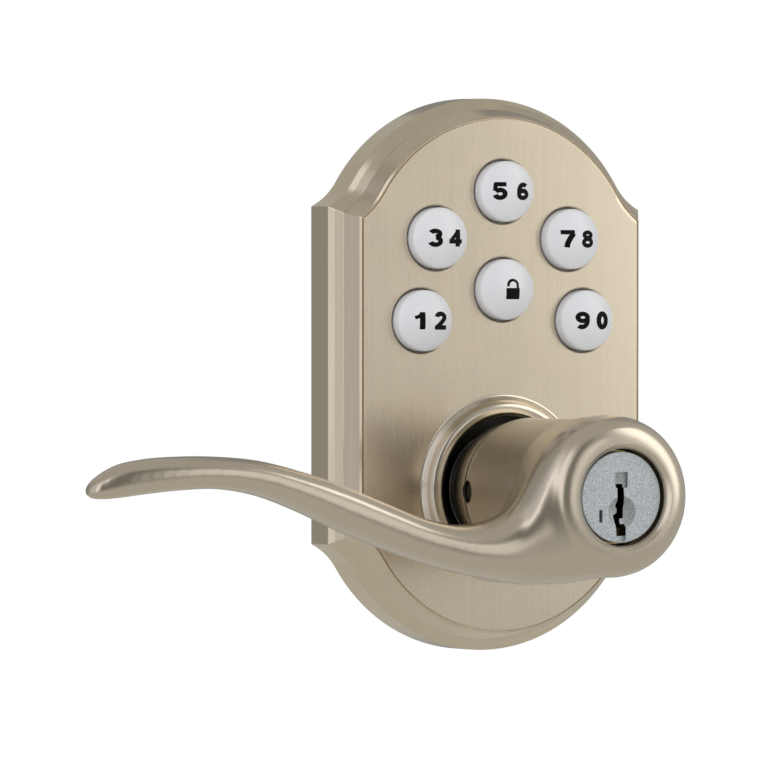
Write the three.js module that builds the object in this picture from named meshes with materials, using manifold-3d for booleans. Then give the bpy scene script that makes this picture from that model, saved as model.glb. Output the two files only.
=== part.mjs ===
// Outside half of a keypad lever lock: a clipped-corner escutcheon with six domed keys, a wavy
// lever with a key cylinder in its head, and the spring cage, circuit board and fixings behind it.
//
// Frame, in millimetres: X runs right along the door, Y into the door and Z up. The origin is where
// the lever's axis meets the door's face. Depths are measured out from the door's face, so a point
// at depth d lies at Y = -d, and a negative depth is inside the door.

import * as THREE from 'three';
import { mergeVertices } from 'three/addons/utils/BufferGeometryUtils.js';
import Module from 'manifold-3d';

const wasm = await Module();
wasm.setup();

// ---------------------------------------------------------------- driving dimensions

const gap = 0.3;                    // left between neighbours that touch on the real lock

const plateHeight = 135;
const plateWidth = 87;
const plateCentre = 27.45;          // the plate's centre stands this far above the lever's axis
const archRadius = 43.2;            // top and bottom arches
const archTurn = THREE.MathUtils.degToRad(58.8);   // half angle of an arch, from the vertical
const shoulderRadius = 15.6;        // hollow between an arch and a straight side
const sideDepth = 8.8;              // height of the plain side wall
const sideInset = 0.3;              // the side wall's draft
const ledgeInset = 3.05;            // where the hollow step ends and the long bevel starts
const ledgeDepth = 11.85;
const bevelInset = 4.5;             // the bevel steepens here, on its way up to the face
const bevelDepth = 14.45;
const faceInset = 5.5;
const faceDepth = 17.1;
const faceThickness = 2.5;
const cavityInsets = [[3, -1], [3, 7.5], [6.3, 11], [7, 14.6]];   // inset and depth of the hollow

const ringInner = 17.6;             // raised ring round the lever's neck
const ringCrest = 19.7;
const ringOuter = 22.2;
const ringDepth = 20.4;

const keyHoleRadius = 7.8;
const keyRadius = 7.35;
const keyFlangeRadius = 8.6;
const keyApex = 21.7;
const keyTravel = 1.0;
const keyPlaces = {                 // x, and z above the plate's centre
  56: [0, 44.4],
  34: [-18.3, 33.0],
  78: [18.3, 33.0],
  12: [-22.4, 13.2],
  90: [22.4, 13.2],
  lock: [0, 20.7],
};
const keyCentres = Object.values(keyPlaces).map(([x, z]) => [x, plateCentre + z]);

const backPlate = { back: 1.2, front: 2.7, inset: 3.4 };
const board = { back: 4.6, front: 6.0, halfWidth: 30, bottom: 29.5 };
const switchTop = 8.6;
const mat = { back: 8.9, front: 9.9, bossTop: 10.4, bossRadius: 3 };

const cage = { radius: 17.9, back: 3.0, front: 12.8, wall: 1.2 };
const cageCover = { back: 13.1, front: 14.3 };

const sleeve = { outer: 12.0, inner: 10.2, back: -12, front: 41.5 };
const neckBack = 22;
const boreRadius = 12.3;
const pocketRadius = 11.2;          // bore of the lever's head, round the key cylinder
const pocketBack = 43;
const headFront = 75.3;

const housing = { outer: 10.9, inner: 7.3, back: 43.3, front: 70.4 };
const plug = { barrel: 7.0, back: 40.5, faceRadius: 10.6, faceBack: 70.7, face: 73.3 };
const waferDepths = [50, 54, 58, 62, 66];
const catchDepth = 30.2;
const catchHoleRadius = 2.6;

const postX = 22.5;                 // mounting posts, inside a 54 mm door bore
const postEnd = -22;
const cableSlot = { width: 10, height: 5.4, z: 22.1 };

// ---------------------------------------------------------------- materials

function material(color, roughness, metalness) {
  return new THREE.MeshStandardMaterial({ color, roughness, metalness });
}

const satinNickel = material(0xc9bda9, 0.32, 1);
const leverNickel = material(0xbdb19c, 0.28, 1);
const zincSteel = material(0x9da0a2, 0.4, 1);
const springSteel = material(0x6f7072, 0.35, 1);
const castNickel = material(0xa9abad, 0.55, 0.8);
const brass = material(0xb99a56, 0.35, 1);
const whitePlastic = material(0xd9dbe0, 0.35, 0);
const blackPlastic = material(0x1d1d1f, 0.5, 0);
const rubber = material(0x26282a, 0.8, 0);
const foam = material(0x3a3c3e, 0.95, 0);
const boardGreen = material(0x1f5c3a, 0.5, 0);

// ---------------------------------------------------------------- closed bodies

const lock = new THREE.Group();

function add(name, geometry, finish) {
  geometry.computeVertexNormals();
  const mesh = new THREE.Mesh(geometry, finish);
  mesh.name = name;
  lock.add(mesh);
}

function moved(geometry, x, z, depth = 0) {
  return geometry.translate(x, -depth, z);
}

// One copy of a body at each x and z.
function atEach(places, geometry) {
  return places.map(([x, z]) => moved(geometry.clone(), x, z));
}

// Shared vertices merged, collapsed triangles dropped and faces turned outwards.
function closed(geometry) {
  const bare = new THREE.BufferGeometry();
  bare.setAttribute('position', geometry.getAttribute('position'));
  bare.setIndex(geometry.getIndex());
  const merged = mergeVertices(bare, 1e-4);
  const index = merged.getIndex().array;
  const position = merged.getAttribute('position');
  const kept = [];
  let volume = 0;
  const [a, b, c] = [new THREE.Vector3(), new THREE.Vector3(), new THREE.Vector3()];
  for (let i = 0; i < index.length; i += 3) {
    const [p, q, r] = [index[i], index[i + 1], index[i + 2]];
    if (p === q || q === r || r === p) continue;
    kept.push(p, q, r);
    a.fromBufferAttribute(position, p);
    b.fromBufferAttribute(position, q);
    c.fromBufferAttribute(position, r);
    volume += a.dot(b.cross(c));
  }
  merged.setIndex(volume > 0 ? kept : kept.reverse());
  return merged;
}

function solid(geometry) {
  const body = closed(geometry);
  return new wasm.Manifold(new wasm.Mesh({
    numProp: 3,
    vertProperties: Float32Array.from(body.getAttribute('position').array),
    triVerts: Uint32Array.from(body.getIndex().array),
  }));
}

function fromSolid(body) {
  const mesh = body.getMesh();
  const geometry = new THREE.BufferGeometry();
  geometry.setAttribute('position', new THREE.BufferAttribute(mesh.vertProperties, 3));
  geometry.setIndex(new THREE.BufferAttribute(mesh.triVerts, 1));
  return geometry;
}

function join(...parts) {
  return fromSolid(parts.map(solid).reduce((whole, part) => whole.add(part)));
}

function cut(geometry, ...tools) {
  return fromSolid(tools.map(solid).reduce((whole, tool) => whole.subtract(tool), solid(geometry)));
}

// A flat shape drawn in X and Z, standing from one depth to another.
function prism(shape, back, front, curveSegments = 12) {
  const body = new THREE.ExtrudeGeometry(shape, {
    depth: front - back,
    bevelEnabled: false,
    curveSegments,
  });
  return closed(body.translate(0, 0, back).rotateX(Math.PI / 2));
}

// A profile of [radius, depth] points turned about the lever's axis.
function turned(profile, segments = 32) {
  const points = profile.map(([radius, depth]) => new THREE.Vector2(radius, -depth));
  return closed(new THREE.LatheGeometry(points, segments));
}

function disc(radius, back, front, segments = 32) {
  return turned([[0, back], [radius, back], [radius, front], [0, front]], segments);
}

function tube(outer, inner, back, front, segments = 32) {
  return turned([[inner, back], [outer, back], [outer, front], [inner, front], [inner, back]], segments);
}

function block(x1, x2, z1, z2, back, front) {
  const body = new THREE.BoxGeometry(x2 - x1, front - back, z2 - z1);
  return closed(body.translate((x1 + x2) / 2, -(back + front) / 2, (z1 + z2) / 2));
}

// A rod lying along X at the lever's axis height.
function rodAlongX(radius, x1, x2, depth, segments = 16) {
  const body = new THREE.CylinderGeometry(radius, radius, x2 - x1, segments);
  return closed(body.rotateZ(Math.PI / 2).translate((x1 + x2) / 2, -depth, 0));
}

// Skin over a row of rings with equal point counts, closed by a fan at each end.
function loft(rings) {
  const count = rings[0].length;
  const position = rings.flat().flatMap((point) => point.toArray());
  const index = [];
  for (let r = 0; r + 1 < rings.length; r += 1) {
    for (let i = 0; i < count; i += 1) {
      const here = r * count + i;
      const beside = r * count + ((i + 1) % count);
      index.push(here, beside, here + count, beside, beside + count, here + count);
    }
  }
  [0, rings.length - 1].forEach((r, end) => {
    const ring = rings[r];
    const centre = ring.reduce((sum, p) => sum.add(p), new THREE.Vector3()).divideScalar(count);
    const tip = position.length / 3;
    position.push(...centre.toArray());
    for (let i = 0; i < count; i += 1) {
      const here = r * count + i;
      const beside = r * count + ((i + 1) % count);
      index.push(...(end === 0 ? [beside, here, tip] : [here, beside, tip]));
    }
  });
  const geometry = new THREE.BufferGeometry();
  geometry.setAttribute('position', new THREE.Float32BufferAttribute(position, 3));
  geometry.setIndex(index);
  return closed(geometry);
}

function circle(radius, x = 0, z = 0) {
  return new THREE.Shape().absarc(x, z, radius, 0, 2 * Math.PI);
}

function rectangle(x1, x2, z1, z2) {
  return new THREE.Shape([
    new THREE.Vector2(x1, z1),
    new THREE.Vector2(x2, z1),
    new THREE.Vector2(x2, z2),
    new THREE.Vector2(x1, z2),
  ]);
}

// ---------------------------------------------------------------- escutcheon outline

// Points of the plate's outline, drawn in by an inset: an arch, a hollow shoulder and a straight
// side in each quarter. Every inset gives the same number of points.
function plateOutline(inset) {
  const arch = archRadius - inset;
  const hollow = shoulderRadius + inset;
  const side = plateWidth / 2 - inset;
  const archCentre = plateHeight / 2 - archRadius;
  const reach = archRadius + shoulderRadius;
  const hollowX = reach * Math.sin(archTurn);
  const hollowZ = archCentre + reach * Math.cos(archTurn);
  const sideTurn = Math.asin((hollowX - side) / hollow);
  const archSteps = 9;
  const hollowSteps = 4;
  const quarter = [];
  for (let i = 0; i <= archSteps; i += 1) {
    const turn = (archTurn * i) / archSteps;
    quarter.push([arch * Math.sin(turn), archCentre + arch * Math.cos(turn)]);
  }
  for (let i = 1; i <= hollowSteps; i += 1) {
    const turn = THREE.MathUtils.lerp(archTurn, sideTurn, i / hollowSteps);
    quarter.push([hollowX - hollow * Math.sin(turn), hollowZ - hollow * Math.cos(turn)]);
  }
  const lower = quarter.map(([x, z]) => [x, -z]).reverse();
  const right = [...quarter, ...lower];
  const left = right.slice(1, -1).map(([x, z]) => [-x, z]).reverse();
  return [...right, ...left].map(([x, z]) => new THREE.Vector2(x, z + plateCentre));
}

function outlineRing([inset, depth]) {
  return plateOutline(inset).map((point) => new THREE.Vector3(point.x, -depth, point.y));
}

function outlineShape(inset) {
  return new THREE.Shape(plateOutline(inset));
}

// ---------------------------------------------------------------- screws

const plateScrewPlaces = [-1, 1].flatMap((side) =>
  [-1, 1].map((end) => [25.8 * side, plateCentre + 48.25 * end]));
const boardScrewPlaces = [[-11.5, 75.5], [11.5, 75.5], [-13.5, 32.5], [13.5, 32.5]];

const plateScrew = { head: 2.6, shank: 1.2, tip: 9, pilot: 1.5, boss: 2.8 };
const boardScrew = { head: 2.2, shank: 1.0, tip: 9.5, pilot: 1.3, boss: 2.5, headThickness: 0.9 };

// A pan-head screw driven outwards from the back, with a cross recess in its head.
function screw(headRadius, shankRadius, back, headThickness, tip) {
  const recess = 0.5;
  const slotHalf = 0.35;
  const slotReach = headRadius * 0.6;
  const under = back + headThickness;
  const profile = [
    [0, back],
    [headRadius * 0.8, back],
    [headRadius, back + headThickness * 0.5],
    [headRadius, under],
    [shankRadius, under],
    [shankRadius, tip - shankRadius],
    [0, tip],
  ];
  return cut(
    turned(profile, 10),
    block(-slotReach, slotReach, -slotHalf, slotHalf, back - 1, back + recess),
    block(-slotHalf, slotHalf, -slotReach, slotReach, back - 1, back + recess),
  );
}

// ---------------------------------------------------------------- escutcheon

function escutcheon() {
  const hollowStep = [45, 90].map((degrees) => {
    const turn = THREE.MathUtils.degToRad(degrees);
    return [
      sideInset + (ledgeInset - sideInset) * Math.sin(turn),
      sideDepth + (ledgeDepth - sideDepth) * (1 - Math.cos(turn)),
    ];
  });
  const outer = loft([
    [0, 0],
    [sideInset, sideDepth],
    ...hollowStep,
    [bevelInset, bevelDepth],
    [faceInset, faceDepth],
  ].map(outlineRing));
  const inside = faceDepth - faceThickness;
  const hollow = loft(cavityInsets.map(outlineRing));
  const ring = turned([
    [ringInner - 1, inside],
    [ringOuter + 0.6, inside],
    [ringOuter + 0.6, faceDepth],
    [ringOuter, faceDepth + 0.2],
    [ringOuter - 0.9, faceDepth + 1.2],
    [ringOuter - 1.2, faceDepth + 2.2],
    [ringOuter - 1.7, ringDepth - 0.4],
    [ringCrest, ringDepth],
    [ringInner + 0.8, ringDepth - 0.25],
    [ringInner, ringDepth - 1],
    [ringInner - 1, ringDepth - 1],
    [ringInner - 1, inside],
  ], 36);
  const bossFront = faceDepth - 1;
  const pilotDepth = 10.5;
  const plateBoss = disc(plateScrew.boss, backPlate.front + gap, bossFront, 12);
  const boardBoss = disc(boardScrew.boss, board.front + gap, bossFront, 12);
  const bosses = [...atEach(plateScrewPlaces, plateBoss), ...atEach(boardScrewPlaces, boardBoss)];
  const pilots = [
    ...atEach(plateScrewPlaces, disc(plateScrew.pilot, 0, pilotDepth, 8)),
    ...atEach(boardScrewPlaces, disc(boardScrew.pilot, 0, pilotDepth, 8)),
  ];
  const keyHoles = atEach(keyCentres, disc(keyHoleRadius, inside - 3, faceDepth + 1, 28));
  const leverHole = disc(ringInner, -1, ringDepth + 1, 36);
  const shell = cut(outer, hollow);
  return cut(join(shell, ring, ...bosses), leverHole, ...keyHoles, ...pilots);
}

add('escutcheon', escutcheon(), satinNickel);

// ---------------------------------------------------------------- back plate and door side

function cableSlotShape(grow) {
  const halfWidth = cableSlot.width / 2 + grow;
  const halfHeight = cableSlot.height / 2 + grow;
  return rectangle(-halfWidth, halfWidth, cableSlot.z - halfHeight, cableSlot.z + halfHeight);
}

const bushing = { flange: 15.2, outer: 13.3, inner: 12.3 };
const post = { shank: 3.8, flange: 4.3, front: 5.0, boreRadius: 2.0, boreDepth: 16 };

function backPlateBody() {
  const shape = outlineShape(backPlate.inset);
  shape.holes.push(circle(bushing.outer + gap));
  shape.holes.push(cableSlotShape(0.6));
  [-postX, postX].forEach((x) => shape.holes.push(circle(post.shank + gap, x)));
  plateScrewPlaces.forEach(([x, z]) => shape.holes.push(circle(1.6, x, z)));
  return prism(shape, backPlate.back, backPlate.front, 10);
}

add('back_plate', backPlateBody(), zincSteel);
add('door_gasket', cut(
  prism(outlineShape(backPlate.inset), 0, backPlate.back - gap),
  prism(outlineShape(5), -1, backPlate.back),
), foam);

plateScrewPlaces.forEach(([x, z], i) => {
  const body = screw(plateScrew.head, plateScrew.shank, 0, backPlate.back - gap, plateScrew.tip);
  add(`plate_screw_${i + 1}`, moved(body, x, z), zincSteel);
});

function cableGrommet() {
  const front = backPlate.front;
  const back = backPlate.back;
  const lip = 0.7;
  const body = join(
    prism(cableSlotShape(gap), back - lip - gap, front + lip + gap),
    prism(cableSlotShape(1), back - lip - gap, back - gap),
    prism(cableSlotShape(1), front + gap, front + lip + gap),
  );
  return cut(body, prism(cableSlotShape(-0.4), back - 3, front + 3));
}

add('cable_grommet', cableGrommet(), rubber);

function mountingPost() {
  const rim = backPlate.front + gap;
  const body = turned([
    [0, postEnd],
    [post.shank, postEnd],
    [post.shank, rim],
    [post.flange, rim],
    [post.flange, post.front],
    [0, post.front],
  ], 16);
  return cut(body, disc(post.boreRadius, postEnd - 1, postEnd + post.boreDepth, 12));
}

add('mounting_post_left', moved(mountingPost(), -postX, 0), zincSteel);
add('mounting_post_right', moved(mountingPost(), postX, 0), zincSteel);

// ---------------------------------------------------------------- keys and circuit board

function keycap() {
  const stemRadius = 2.5;
  const stemEnd = mat.bossTop + 0.1 + keyTravel;
  const flangeFront = faceDepth - faceThickness - gap;
  const flangeBack = flangeFront - 1.4;
  const edge = faceDepth + 2;
  const domeRadius = keyRadius - 0.4;
  const domeBase = edge + 0.75;
  const domeSteps = 3;
  const profile = [
    [0, stemEnd],
    [stemRadius, stemEnd],
    [stemRadius, flangeBack],
    [keyFlangeRadius, flangeBack],
    [keyFlangeRadius, flangeFront],
    [keyRadius, flangeFront],
    [keyRadius, edge],
    [domeRadius, domeBase],
  ];
  for (let i = 1; i <= domeSteps; i += 1) {
    const share = i / domeSteps;
    const rise = (keyApex - domeBase) * (1 - (1 - share) ** 2);
    profile.push([domeRadius * (1 - share), domeBase + rise]);
  }
  return turned(profile, 20);
}

Object.entries(keyPlaces).forEach(([name, [x, z]]) => {
  add(`button_${name}`, moved(keycap(), x, plateCentre + z), whitePlastic);
});

// The board's outline: a straight bottom and an arched top, drawn in by an inset.
function boardShape(inset) {
  const half = board.halfWidth - inset;
  const archCentre = plateCentre + plateHeight / 2 - archRadius;
  const shape = new THREE.Shape();
  shape.moveTo(-half, board.bottom + inset);
  shape.lineTo(half, board.bottom + inset);
  shape.lineTo(half, archCentre);
  shape.absarc(0, archCentre, half, 0, Math.PI);
  shape.lineTo(-half, board.bottom + inset);
  return shape;
}

function keypadBoard() {
  const shape = boardShape(0);
  boardScrewPlaces.forEach(([x, z]) => shape.holes.push(circle(1.4, x, z)));
  return prism(shape, board.back, board.front, 8);
}

function keypadMat() {
  const notch = block(-17, 17, board.bottom - 1, 39, mat.back - 1, mat.front + 1);
  const bossHole = disc(boardScrew.boss + 0.4, mat.back - 1, mat.front + 1, 12);
  const upperBosses = atEach(boardScrewPlaces.slice(0, 2), bossHole);
  const domes = atEach(keyCentres, disc(mat.bossRadius, mat.front - 0.5, mat.bossTop, 12));
  return cut(join(prism(boardShape(0.6), mat.back, mat.front, 8), ...domes), notch, ...upperBosses);
}

function tactSwitch() {
  const half = 3.1;
  const bottom = board.front + gap;
  const casing = block(-half, half, -half, half, bottom, bottom + 1.7);
  return join(casing, disc(1.6, bottom + 1, switchTop, 10));
}

add('keypad_board', keypadBoard(), boardGreen);
add('keypad_mat', keypadMat(), rubber);

Object.entries(keyPlaces).forEach(([name, [x, z]]) => {
  add(`switch_${name}`, moved(tactSwitch(), x, plateCentre + z), blackPlastic);
});

boardScrewPlaces.forEach(([x, z], i) => {
  const { head, shank, headThickness, tip } = boardScrew;
  const back = board.back - gap - headThickness;
  add(`board_screw_${i + 1}`, moved(screw(head, shank, back, headThickness, tip), x, z), zincSteel);
});

const chip = { half: 4.5, z: 59.5, back: 3.1 };
const buzzer = { radius: 4, soundHole: 0.9, front: 9.3, x: 4.5, z: 35 };
const socket = { left: -9, right: -1, bottom: 31.5, top: 36.5, front: 10.6, wall: 0.8 };

function controllerChip() {
  const { half, z, back } = chip;
  return block(-half, half, z - half, z + half, back, board.back - gap);
}

function buzzerCan() {
  const can = disc(buzzer.radius, board.front + gap, buzzer.front, 16);
  const soundHole = disc(buzzer.soundHole, buzzer.front - 1, buzzer.front + 1, 8);
  return moved(cut(can, soundHole), buzzer.x, buzzer.z);
}

// The cable's plug goes in from below.
function cableSocket() {
  const { left, right, bottom, top, front, wall } = socket;
  const back = board.front + gap;
  const mouth = block(left + wall, right - wall, bottom - 1, top - wall, back + 1, front - wall);
  return cut(block(left, right, bottom, top, back, front), mouth);
}

add('controller_chip', controllerChip(), blackPlastic);
add('buzzer', buzzerCan(), blackPlastic);
add('cable_socket', cableSocket(), whitePlastic);

// ---------------------------------------------------------------- spring cage round the sleeve

const centreHole = sleeve.outer + 0.4;

function springCage() {
  return turned([
    [centreHole, cage.back],
    [cage.radius, cage.back],
    [cage.radius, cage.front],
    [cage.radius - cage.wall, cage.front],
    [cage.radius - cage.wall, cage.back + cage.wall],
    [centreHole, cage.back + cage.wall],
    [centreHole, cage.back],
  ], 28);
}

class Coil extends THREE.Curve {
  constructor(radius, back, front, turns) {
    super();
    Object.assign(this, { radius, back, front, turns });
  }

  getPoint(t, target = new THREE.Vector3()) {
    const turn = 2 * Math.PI * this.turns * t;
    const depth = THREE.MathUtils.lerp(this.back, this.front, t);
    return target.set(this.radius * Math.cos(turn), -depth, this.radius * Math.sin(turn));
  }
}

function wound(path, wireRadius, steps) {
  return closed(new THREE.ExtrudeGeometry(circle(wireRadius), {
    extrudePath: path,
    steps,
    curveSegments: 3,
  }));
}

const returnCoil = { radius: 14.6, back: 5.6, front: 8.6, turns: 2.6, wire: 0.7 };
const springDriver = { back: 10.0, front: 12.2, outer: 15.4, lugHalf: 2.5, lugReach: 16.2 };

function returnSpring() {
  const { radius, back, front, turns, wire } = returnCoil;
  return wound(new Coil(radius, back, front, turns), wire, 48);
}

function driver() {
  const { back, front, outer, lugHalf, lugReach } = springDriver;
  const ring = tube(outer, sleeve.outer + gap, back, front, 24);
  const lug = block(-lugHalf, lugHalf, outer - 2, lugReach, back, front);
  return join(ring, lug, lug.clone().rotateY(Math.PI));
}

add('spring_cage', springCage(), zincSteel);
add('spring_cage_cover', tube(cage.radius, centreHole, cageCover.back, cageCover.front, 28), zincSteel);
add('return_spring', returnSpring(), springSteel);
add('spring_driver', driver(), zincSteel);
add('spindle_bushing', turned([
  [bushing.inner, 0],
  [bushing.flange, 0],
  [bushing.flange, backPlate.back - gap],
  [bushing.outer, backPlate.back - gap],
  [bushing.outer, backPlate.front],
  [bushing.inner, backPlate.front],
  [bushing.inner, 0],
], 24), brass);

// ---------------------------------------------------------------- spindle sleeve and its clip

const clipGroove = { back: 14.7, front: 16.3, radius: 11.3 };
const driveSlot = { half: 2.5, deep: 7 };

function spindleSleeve() {
  const body = turned([
    [sleeve.inner, sleeve.back],
    [sleeve.outer, sleeve.back],
    [sleeve.outer, clipGroove.back],
    [clipGroove.radius, clipGroove.back],
    [clipGroove.radius, clipGroove.front],
    [sleeve.outer, clipGroove.front],
    [sleeve.outer, sleeve.front],
    [sleeve.inner, sleeve.front],
    [sleeve.inner, sleeve.back],
  ], 28);
  const { half, deep } = driveSlot;
  const slot = block(-15, 15, -half, half, sleeve.back - 1, sleeve.back + deep);
  return cut(body, slot, rodAlongX(catchHoleRadius, -15, -5, catchDepth));
}

// Retaining ring with an open mouth, seated in the sleeve's groove.
function openRing(inner, outer, back, front, mouthHalf) {
  const shape = new THREE.Shape();
  const start = Math.PI / 2 + mouthHalf;
  const end = Math.PI / 2 - mouthHalf + 2 * Math.PI;
  shape.absarc(0, 0, outer, start, end, false);
  shape.absarc(0, 0, inner, end, start, true);
  return prism(shape, back, front, 14);
}

function spindleClip() {
  const { radius, back, front } = clipGroove;
  return openRing(radius + gap, 14, back + gap, front - gap, 0.3);
}

add('spindle_sleeve', spindleSleeve(), zincSteel);
add('spindle_clip', spindleClip(), springSteel);

// ---------------------------------------------------------------- lever

// Stations along the arm, from the tip to the head: x, middle height z, half height, middle depth
// and half thickness away from the door.
const armStations = [
  [-124.8, 2.9, 0.5, 51.4, 1.2],
  [-124.0, 2.9, 1.1, 51.5, 2.2],
  [-121.5, 3.3, 2.1, 51.7, 3.4],
  [-118.0, 4.3, 2.9, 52.0, 4.3],
  [-112.0, 5.7, 3.6, 52.6, 5.2],
  [-104.0, 6.6, 3.75, 53.5, 5.9],
  [-95.0, 6.7, 3.65, 54.4, 6.3],
  [-85.0, 5.35, 4.0, 55.3, 6.6],
  [-75.0, 2.25, 4.6, 56.1, 6.9],
  [-65.0, -1.65, 5.3, 56.9, 7.2],
  [-55.0, -5.7, 5.3, 57.6, 7.5],
  [-45.0, -9.45, 5.15, 58.3, 7.9],
  [-35.0, -11.8, 5.55, 59.0, 8.5],
  [-28.0, -12.3, 6.5, 59.6, 9.1],
  [-20.0, -11.3, 9.0, 60.2, 10.0],
  [-15.0, -9.5, 11.4, 60.5, 10.6],
  [-10.0, -6.8, 14.4, 60.8, 11.2],
  [-4.0, -3.5, 17.4, 61.0, 11.8],
  [4.0, -3.6, 17.0, 61.0, 11.8],
  [12.0, -4.2, 12.6, 61.0, 10.5],
];

function arm() {
  const middle = new THREE.CatmullRomCurve3(armStations.map(([x, z, , depth]) =>
    new THREE.Vector3(x, -depth, z)));
  const half = new THREE.CatmullRomCurve3(armStations.map(([x, , tall, , deep]) =>
    new THREE.Vector3(x, deep, tall)));
  const rings = [];
  const steps = 30;
  const sides = 18;
  for (let i = 0; i <= steps; i += 1) {
    const at = middle.getPoint(i / steps);
    const size = half.getPoint(i / steps);
    const ring = [];
    for (let k = 0; k < sides; k += 1) {
      const turn = (2 * Math.PI * k) / sides;
      ring.push(new THREE.Vector3(at.x, at.y + size.y * Math.cos(turn), at.z + size.z * Math.sin(turn)));
    }
    rings.push(ring);
  }
  return loft(rings);
}

function leverHead() {
  return turned([
    [0, neckBack],
    [15.8, neckBack],
    [16.4, neckBack + 0.6],
    [16.9, neckBack + 3],
    [17.15, neckBack + 7.5],
    [17.7, 54.5],
    [18.4, 60],
    [18.9, 66.5],
    [18.6, 69],
    [17.8, 71.3],
    [16.5, 73.5],
    [14.9, 74.9],
    [13.4, headFront],
    [12.4, 74.9],
    [11.4, 73.6],
    [0, 73.6],
  ], 36);
}

function lever() {
  return cut(
    join(leverHead(), arm()),
    disc(boreRadius, neckBack - 1, pocketBack, 28),
    disc(pocketRadius, pocketBack - 1, headFront + 1, 28),
    rodAlongX(catchHoleRadius, -20, -5, catchDepth),
  );
}

add('lever', lever(), leverNickel);

// The catch that holds the lever on its sleeve: a pin pushed in through the neck's release hole.
const catchPin = { radius: 2.2, tip: -15.9, flangeRadius: 3.4, flangeOuter: -9.2, flangeInner: -8.2 };

add('lever_catch', join(
  rodAlongX(catchPin.radius, catchPin.tip, catchPin.flangeOuter + 0.5, catchDepth),
  rodAlongX(catchPin.flangeRadius, catchPin.flangeOuter, catchPin.flangeInner, catchDepth),
), zincSteel);

function catchSpring() {
  const reach = THREE.MathUtils.degToRad(155);
  const halfWidth = 1.5;
  const shape = new THREE.Shape();
  shape.absarc(0, 0, 9.8, -reach, reach, false);
  shape.absarc(0, 0, 9.2, reach, -reach, true);
  return prism(shape, catchDepth - halfWidth, catchDepth + halfWidth, 14);
}

add('catch_spring', catchSpring(), springSteel);

// ---------------------------------------------------------------- key cylinder

add('cylinder_housing', tube(housing.outer, housing.inner, housing.back, housing.front, 28), brass);

// The keyway's outline on the plug's face, wards and all.
function keywayShape() {
  return new THREE.Shape([
    [-1.1, 3.1], [0.6, 3.1], [0.75, 0.4], [0.9, -1.6], [0.7, -2.6], [0.7, -4.9],
    [-0.3, -4.9], [-0.3, -6.2], [0.9, -6.2], [1.2, -7.0], [1.2, -9.0], [-1.3, -9.0],
    [-1.5, -6.6], [-2.1, -4.2], [-1.0, -3.5], [-1.0, -2.6], [-1.5, -2.1], [-1.0, -0.8],
  ].map(([x, z]) => new THREE.Vector2(x, z)));
}

const keywayBack = 47;
const waferSlot = { halfWidth: 2.6, bottom: -5.5, halfThickness: 0.8 };

function keyPlug() {
  const face = plug.face;
  const body = turned([
    [0, plug.back],
    [plug.barrel - 1, plug.back],
    [plug.barrel - 1, plug.back + 2],
    [plug.barrel, plug.back + 2],
    [plug.barrel, plug.faceBack],
    [plug.faceRadius, plug.faceBack],
    [plug.faceRadius, face - 0.3],
    [plug.faceRadius - 0.3, face],
    [0, face],
  ], 28);
  const keyway = prism(keywayShape(), keywayBack, face + 1);
  const upperRecess = block(-1.7, 1.7, 2.2, 5.8, face - 0.6, face + 1);
  const lowerNotch = block(-1.3, 1.2, -10.1, -8.9, face - 0.8, face + 1);
  const toolSlot = block(-5.9, -5.0, -5.7, -2.8, face - 3, face + 1);
  const keyDish = moved(disc(3.7, face - 0.35, face + 1, 20), 0.2, -3.4);
  const tailSocket = block(-3.3, 3.3, -1.3, 1.3, plug.back - 1, plug.back + 4);
  const waferSlots = waferDepths.map((depth) => {
    const { halfWidth, bottom, halfThickness } = waferSlot;
    const top = plug.barrel + 1;
    return block(-halfWidth, halfWidth, bottom, top, depth - halfThickness, depth + halfThickness);
  });
  return cut(body, keyway, upperRecess, lowerNotch, toolSlot, keyDish, tailSocket, ...waferSlots);
}

function wafer(depth) {
  const half = 0.5;
  const plate = block(-2.3, 2.3, -5.2, 6.0, depth - half, depth + half);
  const window = block(-1.3, 1.3, -3.9, 2.4, depth - 1, depth + 1);
  return cut(plate, window);
}

function plugClip() {
  const back = plug.back + 0.5;
  return openRing(plug.barrel - 1 + gap, 8.4, back, back + 1, 0.5);
}

const tail = { halfWidth: 3, halfThickness: 1, end: -16 };

function tailpiece() {
  const { halfWidth, halfThickness, end } = tail;
  return block(-halfWidth, halfWidth, -halfThickness, halfThickness, end, plug.back + 3.6);
}

add('key_plug', keyPlug(), castNickel);
waferDepths.forEach((depth, i) => add(`wafer_${i + 1}`, wafer(depth), brass));
add('plug_clip', plugClip(), springSteel);
add('tailpiece', tailpiece(), zincSteel);

export default lock;
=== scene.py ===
"""Looks of the keypad lever lock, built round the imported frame. Lengths below are in millimetres.

A depth is measured out from the door's face, so a point at depth d lies at y = -d.
"""

import math

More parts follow.
